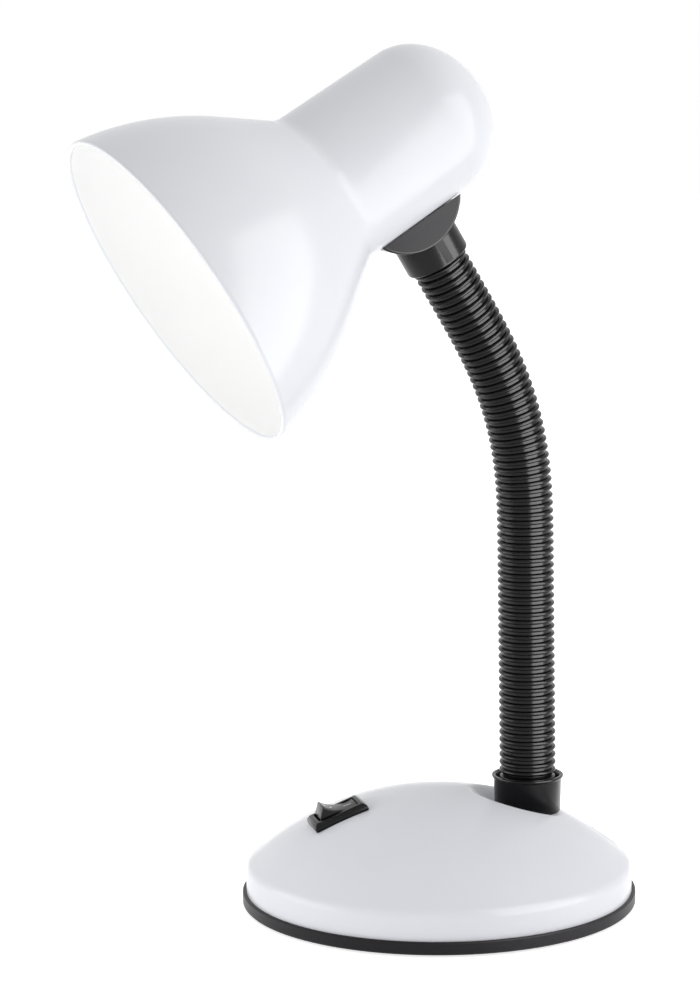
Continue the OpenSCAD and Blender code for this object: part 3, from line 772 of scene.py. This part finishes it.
def make_base_shell():
    """The dome: a spherical crown, a cone and a round shoulder, with the seat and the dish sunk into it."""
    crown_slope = math.degrees(math.asin(CROWN_FOOT_R / CROWN_R))
    crown = [
        (CROWN_R * sin(crown_slope * i / CROWN_RINGS), CROWN_C + CROWN_R * cos(crown_slope * i / CROWN_RINGS))
        for i in range(CROWN_RINGS + 1)
    ]
    cone = [
        (
            CROWN_FOOT_R + (CONE_R - CROWN_FOOT_R) * i / CONE_RINGS,
            CROWN_FOOT_Z + (CONE_Z - CROWN_FOOT_Z) * i / CONE_RINGS,
        )
        for i in range(1, CONE_RINGS)
    ]
    shoulder = arc(SHOULDER_C, SIDE_TOP_Z, SHOULDER_R, 90 - SHOULDER_SLOPE, 0, 10)
    side = [(SHELL_R, SIDE_TOP_Z - 4), (SHELL_R, SHELL_FOOT_Z + 0.6), (SHELL_R - 0.3, SHELL_FOOT_Z)]
    work = lathe(crown + cone + shoulder + side, SHELL_STEPS, closed=False)
    if sum(face.normal.z for face in work.faces) < 0:
        bmesh.ops.reverse_faces(work, faces=work.faces)
    carve(work, AT_SEAT, SEAT_REACH, seat_height, SEAT_SOFTNESS)
    carve(work, AT_DISH, DISH_REACH, dish_height, DISH_SOFTNESS)
    work.normal_update()
    bmesh.ops.solidify(work, geom=work.faces, thickness=SHELL_WALL)
    window = block((BEZEL_W - 1, BEZEL_LEN - 1, 20), (0, 0, -2))
    window.transform(AT_SWITCH)
    work = combine(
        work,
        "DIFFERENCE",
        window,
        rod(STUD_HOLE_R, -8, 4, place=AT_SEAT),
        rod(BUSH_HOLE_R, -8, 4, place=AT_DISH),
    )
    piece_from(work, "domed_shell", "base", WHITE_BASE, "base_shell", sharp=50)


make_base_shell()

# ---------- Tray ----------


def make_tray():
    """The black tray, with a small round on its top edge."""
    inner_r = SHELL_R + 0.15
    work = lathe(
        [
            (0, TRAY_Z),
            (TRAY_R - 0.5, TRAY_Z),
            (TRAY_R, TRAY_Z + 0.5),
            (TRAY_R, TRAY_TOP_Z - TRAY_BEVEL_H),
            (TRAY_R - 0.25, TRAY_TOP_Z - 0.12),
            (TRAY_R - TRAY_BEVEL, TRAY_TOP_Z),
            (inner_r, TRAY_TOP_Z),
            (inner_r, TRAY_Z + TRAY_T),
            (0, TRAY_Z + TRAY_T),
        ],
        192,
        closed=False,
    )
    holes = []
    for place in screw_places():
        holes.append(rod(SCREW_HEAD_HOLE_R, 0, TRAY_Z + SCREW_HEAD_H, 40, place))
        holes.append(rod(SCREW_HOLE_R, 0, TRAY_Z + TRAY_T + 1, 40, place))
    work = combine(work, "DIFFERENCE", *holes)
    piece_from(work, "black_tray", "base", BLACK_TRAY, "base_plate", sharp=40)


make_tray()

# ---------- Collar ----------


def make_collar():
    """A moulded cup, wider upwards, with a thin lip round its mouth."""
    lip = COLLAR_H - 0.8
    work = lathe(
        [
            (STUD_HOLE_R, 0),
            (COLLAR_FOOT_R - 0.25, 0),
            (COLLAR_FOOT_R, 0.25),
            (COLLAR_TOP_R - 0.02, lip - 0.75),
            (COLLAR_TOP_R + 0.12, lip - 0.45),
            (COLLAR_LIP_R - 0.25, lip - 0.05),
            (COLLAR_LIP_R - 0.05, lip + 0.1),
            (COLLAR_LIP_R, lip + 0.3),
            (COLLAR_LIP_R, lip + 0.5),
            (COLLAR_LIP_R - 0.08, lip + 0.72),
            (COLLAR_LIP_R - 0.3, COLLAR_H),
            (COLLAR_TOP_R - 0.45, COLLAR_H),
            (COLLAR_TOP_R - 0.65, COLLAR_H - 0.2),
            (COLLAR_FOOT_R - 0.7, COLLAR_H - 1.6),
            (COLLAR_FOOT_R - 1, 2.4),
            (COLLAR_FOOT_R - 1.4, 2),
            (STUD_HOLE_R, 2),
        ],
        144,
    )
    piece_from(work, "neck_cup", "base", BLACK_GLOSS, "collar", place=AT_SEAT, sharp=50)


make_collar()

# ---------- Switch ----------


def make_switch_body():
    """The bezel with sloped sides, open for the rocker, on a plain body that snaps into the shell."""
    bezel = block((BEZEL_W, BEZEL_LEN, BEZEL_T), (0, 0, BEZEL_T / 2))
    rim = [edge for edge in bezel.edges if all(vertex.co.z > BEZEL_T / 2 for vertex in edge.verts)]
    round_edges(bezel, rim, BEZEL_SLOPE, 1)
    round_edges(bezel, edges_at(bezel, 20), 0.3, 4)
    body = block((BEZEL_W - 2, BEZEL_LEN - 2, SWITCH_DEPTH), (0, 0, -SWITCH_DEPTH / 2 + 0.5))
    work = combine(bezel, "UNION", body)
    hole = block((OPENING_W, OPENING_LEN, 12), (0, 0, PIVOT_Z))
    round_edges(hole, [e for e in hole.edges if abs(e.verts[0].co.z - e.verts[1].co.z) > 1], 0.5, 3)
    work = combine(work, "DIFFERENCE", hole)
    piece_from(work, "switch_case", "base", BLACK_GLOSS, "switch_body", place=AT_SWITCH, sharp=25)


AT_ROCKER = (
    AT_SWITCH
    @ Matrix.Translation((0, 0, PIVOT_Z))
    @ Matrix.Rotation(math.radians(-ROCKER_TILT), 4, "X")
)


def rocker_scoop():
    """Half length, radius and centre height of the hollow in the level rocker's top."""
    tip = ROCKER_HALF - ROCKER_RISE * tan(ROCKER_LEAN)
    radius = (tip**2 + ROCKER_HOLLOW**2) / (2 * ROCKER_HOLLOW)
    return tip, radius, ROCKER_RISE - ROCKER_HOLLOW + radius


def scoop_points():
    """The hollow top of the level rocker, from its rear end to its front end, as (along, height)."""
    tip, radius, centre_z = rocker_scoop()
    half = math.degrees(math.asin(tip / radius))
    return arc(0, centre_z, radius, half - 90, -half - 90, 24)


def make_rocker():
    """The tipping cap with its hollow top and rounded edges, on the pin that it turns on."""
    outline = [(-ROCKER_HALF, 0), (-ROCKER_HALF + 1.1, -3), (ROCKER_HALF - 1.1, -3), (ROCKER_HALF, 0)]
    work = bmesh.new()
    points = [work.verts.new((-ROCKER_W / 2, along, height)) for along, height in outline + scoop_points()]
    face = work.faces.new(points)
    sides = bmesh.ops.extrude_face_region(work, geom=[face])["geom"]
    bmesh.ops.translate(
        work, vec=(ROCKER_W, 0, 0), verts=[v for v in sides if isinstance(v, bmesh.types.BMVert)]
    )
    bmesh.ops.recalc_face_normals(work, faces=work.faces)
    round_edges(work, edges_at(work, 40), 0.4, 4)
    pin = rod(1.2, -ROCKER_W / 2 - 0.6, ROCKER_W / 2 + 0.6, 32)
    pin.transform(Matrix.Rotation(math.radians(90), 4, "Y"))
    work = combine(work, "UNION", pin)
    piece_from(work, "rocker_cap", "rocker", BLACK_GLOSS, "switch_rocker", place=AT_ROCKER, sharp=35)


make_switch_body()
make_rocker()

# ---------- Shade bracket ----------


def make_bracket():
    """A half-moon saddle that the shade's neck lies in, on a round socket for the hose."""
    saddle = rod(SADDLE_R, -SADDLE_W / 2, SADDLE_W / 2, 192)
    round_edges(saddle, edges_at(saddle, 60), 0.9, 5)
    saddle.transform(
        Matrix.Translation((FITTING_S - SADDLE_S, 0, SADDLE_R + SADDLE_FOOT))
        @ Matrix.Rotation(math.radians(90), 4, "X")
    )
    socket = rod(SOCKET_R, -SOCKET_DEPTH, SHADE_AXIS_Z - SHADE_NECK_R + 1, 144)
    low_rim = [e for e in socket.edges if all(v.co.z < -SOCKET_DEPTH + 0.01 for v in e.verts)]
    round_edges(socket, low_rim, 1.0, 5)
    work = combine(saddle, "UNION", socket)
    along = Matrix.Translation((FITTING_S, 0, SHADE_AXIS_Z)) @ Matrix.Rotation(math.radians(-90), 4, "Y")
    horn_z = SHADE_AXIS_Z - SHADE_NECK_R * HORN_SHARE
    work = combine(
        work,
        "DIFFERENCE",
        rod(SHADE_NECK_R + 0.15, 0, 140, 256, along),
        block((60, 60, 60), (0, 0, horn_z + 30)),
        rod(RIB_R + 0.3, -SOCKET_DEPTH - 1, 0, 96),
        rod(STUD_HOLE_R, -1, 40, 64),
    )
    # The saddle's two flat faces are duller than the rest of it
    for face in work.faces:
        face.normal_update()
        face.material_index = int(abs(face.normal.y) > 0.99 and face.calc_center_median().z > -2)
    piece = piece_from(work, "shade_saddle", "head", BLACK_GLOSS, "shade_bracket", place=HEAD, sharp=30)
    piece.data.materials.append(BLACK_SATIN)


make_bracket()

# ---------- Rocker marks ----------


def make_marks():
    """The usual circle and line of a mains rocker, printed thinly on its hollow top."""
    _, radius, centre_z = rocker_scoop()
    for name, along in (("circle", CIRCLE_ALONG), ("line", LINE_ALONG)):
        work = bmesh.new()
        if name == "circle":
            bmesh.ops.create_circle(work, segments=48, radius=CIRCLE_R)
            ring = bmesh.ops.extrude_edge_only(work, edges=work.edges[:])["geom"]
            inner = [v for v in ring if isinstance(v, bmesh.types.BMVert)]
            bmesh.ops.scale(work, vec=(CIRCLE_BORE_SHARE, CIRCLE_BORE_SHARE, 1), verts=inner)
        else:
            bmesh.ops.create_grid(work, x_segments=2, y_segments=6, size=0.5)
            bmesh.ops.scale(work, vec=(LINE_W, LINE_LEN, 1), verts=work.verts)
        work.normal_update()
        if sum(face.normal.z for face in work.faces) < 0:
            bmesh.ops.reverse_faces(work, faces=work.faces)
        for vertex in work.verts:
            vertex.co.y += along
            vertex.co.z = centre_z - math.sqrt(radius**2 - vertex.co.y**2) + PRINT_T
        piece_from(work, f"rocker_{name}", "rocker", WHITE_PRINT, place=AT_ROCKER)


make_marks()

# ---------- Foot ring, cable bush and screws ----------


def make_foot_ring():
    """The soft ring that the lamp stands on, with rounded edges."""
    outer, inner = FOOT_OUTER_R, FOOT_INNER_R
    outline = arc(outer - 0.3, 0.3, 0.3, -90, 0, 3) + arc(outer - 0.15, TRAY_Z - 0.15, 0.15, 0, 90, 2)
    outline += arc(inner + 0.15, TRAY_Z - 0.15, 0.15, 90, 180, 2) + arc(inner + 0.3, 0.3, 0.3, 180, 270, 3)
    piece_from(lathe(outline, 192), "foot_pad_ring", "base", FOAM, "foot_ring", sharp=60)


def make_bush():
    """The grommet that the mains cable would leave through: a domed flange on a barrel."""
    rise = dish_height(BUSH_FLANGE_R)
    foot = -DISH_DEPTH - BUSH_TAIL
    outline = [(BUSH_BARREL_R, foot), (BUSH_BARREL_R, -DISH_DEPTH), (BUSH_FLANGE_R, rise + 0.02)]
    outline += arc(BUSH_FLANGE_R - 0.2, rise + 0.1, 0.2, 0, 80, 4)
    outline += arc(BUSH_BORE_R + 0.4, -DISH_DEPTH + 0.5, 0.4, 90, 180, 4)
    outline += [(BUSH_BORE_R, foot + 0.3), (BUSH_BORE_R + 0.3, foot)]
    piece_from(lathe(outline, 72), "cable_grommet", "base", BLACK_GLOSS, "cable_inlet_bush", place=AT_DISH, sharp=40)


def make_screws():
    """Four flat-topped screws with a cross recess, up through the tray."""
    head_top, tip = TRAY_Z + SCREW_HEAD_H, TRAY_Z + SCREW_LEN
    outline = [(0, TRAY_Z)] + arc(SCREW_HEAD_R - 0.4, TRAY_Z + 0.4, 0.4, -90, 0, 4)
    outline += [(SCREW_HEAD_R, head_top), (SCREW_R, head_top)]
    outline += [(SCREW_R, tip - 0.8), (SCREW_R - 0.8, tip), (0, tip)]
    work = bmesh.new()
    for place in screw_places():
        screw = lathe(outline, 32, closed=False)
        bmesh.ops.recalc_face_normals(screw, faces=screw.faces)
        screw = combine(
            screw,
            "DIFFERENCE",
            block((RECESS_LEN, RECESS_W, RECESS_DEPTH), (0, 0, TRAY_Z)),
            block((RECESS_W, RECESS_LEN, RECESS_DEPTH), (0, 0, TRAY_Z)),
        )
        screw.transform(place)
        mesh = bpy.data.meshes.new("screw")
        screw.to_mesh(mesh)
        screw.free()
        work.from_mesh(mesh)
        bpy.data.meshes.remove(mesh)
    piece_from(work, "tray_screws", "base", ZINC, "base_screws", sharp=35)


make_foot_ring()
make_bush()
make_screws()

# ---------- Lampholder ----------


def make_holder():
    """A two-part thermoplastic lampholder: a fluted skirt round the screw shell, and a domed cap."""
    inner, back, floor_s = THREAD_R + 0.65, HOLDER_R - SKIRT_STEP, SCREW_SHELL_S + THREAD_LEN
    end = HOLDER_S + HOLDER_LEN
    outline = [(0.01, floor_s), (inner, floor_s), (inner, HOLDER_S + 1)]
    outline += arc((inner + back) / 2, HOLDER_S + 1, (back - inner) / 2, 180, 360, 8)
    rows = [HOLDER_S + 1 + FLUTE_LEN * i / 10 for i in range(1, 11)]
    outline += [(back + SKIRT_STEP * (row - HOLDER_S - 1) / FLUTE_LEN, row) for row in rows]
    outline += arc(HOLDER_R - 0.4, end - 0.4, 0.4, 0, 90, 4) + [(back, end), (back, floor_s + 5), (0.01, floor_s + 5)]
    work = lathe(outline, 288)
    for vertex in work.verts:
        away = math.hypot(vertex.co.x, vertex.co.y)
        if away > back + 0.4 and vertex.co.z < HOLDER_S + FLUTE_LEN + 1.5:
            turn = math.atan2(vertex.co.y, vertex.co.x)
            sink = FLUTE_DEPTH * max(0.0, cos(math.degrees(turn) * FLUTES)) * min(1, (away - back) / 0.8)
            vertex.co.x -= sink * math.cos(turn)
            vertex.co.y -= sink * math.sin(turn)
    pocket = rod(6.5, floor_s - 0.01, floor_s + 3, 96)
    holes = [rod(1.2, floor_s - 1, floor_s + 6, 32, Matrix.Translation((side * 8, 0, 0))) for side in (-1, 1)]
    work = combine(work, "DIFFERENCE", pocket, *holes)
    piece_from(work, "holder_skirt", "head", HOLDER, "holder_body", place=SHADE, sharp=40)
    rim_r = HOLDER_R - 0.5
    top = end + HOLDER_CAP_LEN
    outline = [(STUD_HOLE_R, top), (rim_r - 5.5, top)] + arc(rim_r - 5.5, top - 4.5, 4.5, 80, 0, 8)
    outline += [(rim_r, end + 0.3), (rim_r - 0.3, end), (rim_r - 2, end), (rim_r - 3, top - 5)]
    outline += [(rim_r - 3.6, top - 3.4), (rim_r - 5, top - 2.3), (rim_r - 6.5, top - 2), (STUD_HOLE_R, top - 2)]
    piece_from(lathe(outline, 144), "holder_dome", "head", HOLDER, "holder_cap", place=SHADE, sharp=40)


def make_screw_shell():
    """Pressed brass screw shell, its rolled thread winding along it."""
    start, rings = SCREW_SHELL_S, 92
    heights = [start + THREAD_LEN * i / rings for i in range(rings + 1)]
    outline = [(THREAD_R + 0.5, height) for height in heights] + [(THREAD_R + 0.2, h) for h in reversed(heights)]
    work = lathe(outline, 96)
    for vertex in work.verts:
        run = vertex.co.z - start
        turn = math.atan2(vertex.co.y, vertex.co.x)
        fade = smooth_step(run / 2) * smooth_step((THREAD_LEN - run) / 2)
        wave = 0.5 - 0.5 * math.cos(math.tau * run / THREAD_PITCH - turn)
        vertex.co.x -= THREAD_DEPTH * fade * wave * math.cos(turn)
        vertex.co.y -= THREAD_DEPTH * fade * wave * math.sin(turn)
    piece_from(work, "threaded_shell", "head", BRASS, "screw_shell", place=SHADE)


def make_contact():
    """Sprung brass tongue that the lamp's tip presses, with a domed end."""
    deep = SCREW_SHELL_S + THREAD_LEN + CONTACT_RISE
    work = block((5, 8, 0.6), (0, -1.5, deep - 0.3))
    round_edges(work, edges_at(work, 60), 0.2, 2)
    outline = [(0, deep), (2.5, deep), (2.5, deep - 1.6)]
    outline += arc(1.9, deep - 1.6, 0.6, 0, -90, 4) + [(0, deep - 2.2)]
    dome = lathe(outline, 48, closed=False)
    work = combine(work, "UNION", dome)
    piece_from(work, "contact_tongue", "head", BRASS, "centre_contact", place=SHADE, sharp=40)


def make_holder_bracket():
    """Bent steel strip from the neck's stud to the back of the lampholder, its edges rounded."""
    leg = FITTING_S - HOLDER_S - HOLDER_LEN - HOLDER_CAP_LEN
    foot = block((8 - leg + BRACKET_T, BRACKET_W, BRACKET_T), ((8 + leg - BRACKET_T) / 2, 0, PAD_TOP_Z + BRACKET_T / 2))
    rise = SHADE_AXIS_Z - PAD_TOP_Z
    upright = block((BRACKET_T, BRACKET_W, rise), (leg - BRACKET_T / 2, 0, PAD_TOP_Z + rise / 2))
    lay = Matrix.Translation((leg - BRACKET_T, 0, SHADE_AXIS_Z)) @ Matrix.Rotation(math.radians(90), 4, "Y")
    work = combine(foot, "UNION", upright, rod(BRACKET_W / 2 + 3, 0, BRACKET_T, 64, lay))
    round_edges(work, edges_at(work, 70), 0.25, 2)
    work = combine(work, "DIFFERENCE", rod(STUD_HOLE_R, 0, 30, 64), rod(STUD_HOLE_R, -1, 3, 64, lay))
    piece_from(work, "holder_strip", "head", ZINC, "holder_bracket", place=HEAD, sharp=35)


make_holder()
make_screw_shell()
make_contact()
make_holder_bracket()

# ---------- Light, floor and camera ----------

# Strength of the white backdrop where the camera or a gloss sees it, and of its light on the lamp
PAPER_GLOW = (0.75, 0.22)
ROOM_GLOW = (1.0, 0.64)


def glow_by_ray(tree, glow):
    """Strength of a glowing backdrop: the first value where it is seen or mirrored, the second where it lights."""
    seen, lights = glow
    path = add_node(tree, "ShaderNodeLightPath")
    direct = {"operation": "MAXIMUM"}
    mirrored = add_node(
        tree, "ShaderNodeMath", direct, i0=path.outputs["Is Glossy Ray"], i1=path.outputs["Is Transmission Ray"]
    )
    shown = add_node(tree, "ShaderNodeMath", direct, i0=path.outputs["Is Camera Ray"], i1=mirrored.outputs[0])
    return add_node(tree, "ShaderNodeMapRange", Value=shown.outputs[0], To_Min=lights, To_Max=seen).outputs[0]


def floor_material():
    """Matt white paper sweep that glows a little: an even white ground that keeps the lamp's soft shadow."""
    material, tree = new_material("white_paper_sweep")
    finish_material(
        tree,
        Base_Color=linear("#f4f4f4"),
        Roughness=0.9,
        Specular_IOR_Level=0.1,
        Emission_Color=(1, 1, 1, 1),
        Emission_Strength=glow_by_ray(tree, PAPER_GLOW),
    )
    return material


def make_stage():
    """The paper that the lamp stands on, wider than the view."""
    work = bmesh.new()
    bmesh.ops.create_grid(work, x_segments=1, y_segments=1, size=3)
    floor = object_from(work, "studio_floor")
    floor.data.materials.append(floor_material())


def make_world():
    """An even white room."""
    world = bpy.data.worlds.new("white_studio")
    world.use_nodes = True
    tree = world.node_tree
    tree.nodes.clear()
    background = add_node(tree, "ShaderNodeBackground", Color=(1, 1, 1, 1), Strength=glow_by_ray(tree, ROOM_GLOW))
    output = add_node(tree, "ShaderNodeOutputWorld")
    tree.links.new(background.outputs[0], output.inputs[0])
    bpy.context.scene.world = world


def soft_box(name, place_mm, aim_mm, width_mm, height_mm, power, lights=True, mirrored=True):
    """A rectangle of light aimed at a point, unseen by the camera, that may only light or only be mirrored."""
    light = bpy.data.lights.new(name, "AREA")
    light.shape = "RECTANGLE"
    light.size = width_mm * MM
    light.size_y = height_mm * MM
    light.energy = power
    lamp = bpy.data.objects.new(name, light)
    place = Vector(place_mm) * MM
    lamp.location = place
    lamp.visible_camera = False
    lamp.visible_diffuse = lights
    lamp.visible_glossy = mirrored
    lamp.rotation_euler = (Vector(aim_mm) * MM - place).to_track_quat("-Z", "Y").to_euler()
    bpy.context.scene.collection.objects.link(lamp)


# Where the photograph was taken from, in millimetres and degrees
CAMERA_AZIMUTH = 76.5
CAMERA_ELEVATION = 9.54
CAMERA_ROLL = 0.54
CAMERA_LENS = 126.4
CAMERA_PLACE = (1215.4, -324.2, 362.2)


def make_camera():
    """The camera of the photograph."""
    data = bpy.data.cameras.new("photo_camera")
    data.lens = CAMERA_LENS
    data.sensor_width = 36
    data.sensor_fit = "AUTO"
    data.clip_start = 0.01
    camera = bpy.data.objects.new("photo_camera", data)
    turn = (
        Matrix.Rotation(math.radians(CAMERA_AZIMUTH), 4, "Z")
        @ Matrix.Rotation(math.radians(90 - CAMERA_ELEVATION), 4, "X")
        @ Matrix.Rotation(math.radians(-CAMERA_ROLL), 4, "Z")
    )
    camera.matrix_world = Matrix.Translation(Vector(CAMERA_PLACE) * MM) @ turn
    bpy.context.scene.collection.objects.link(camera)
    bpy.context.scene.camera = camera


make_stage()
make_world()
# Two cards that only show as reflections, and three lights that show in none
soft_box("key_card_at_right", (162, 146, 225), (93, 73, 225), 215, 450, 3, lights=False)
soft_box("card_at_left", (-110, -660, 200), (0, -30, 180), 620, 500, 4, lights=False)
soft_box("wide_from_right", (750, 1150, 350), (0, 0, 130), 1500, 600, 5.2, mirrored=False)
soft_box("high_from_right", (-100, 900, 1000), (0, 0, 100), 1000, 1000, 2.2, mirrored=False)
soft_box("low_into_shade", (60, -470, 60), (10, -60, 245), 250, 250, 0.78, mirrored=False)
make_camera()

scene = bpy.context.scene
scene.view_settings.view_transform = "Standard"
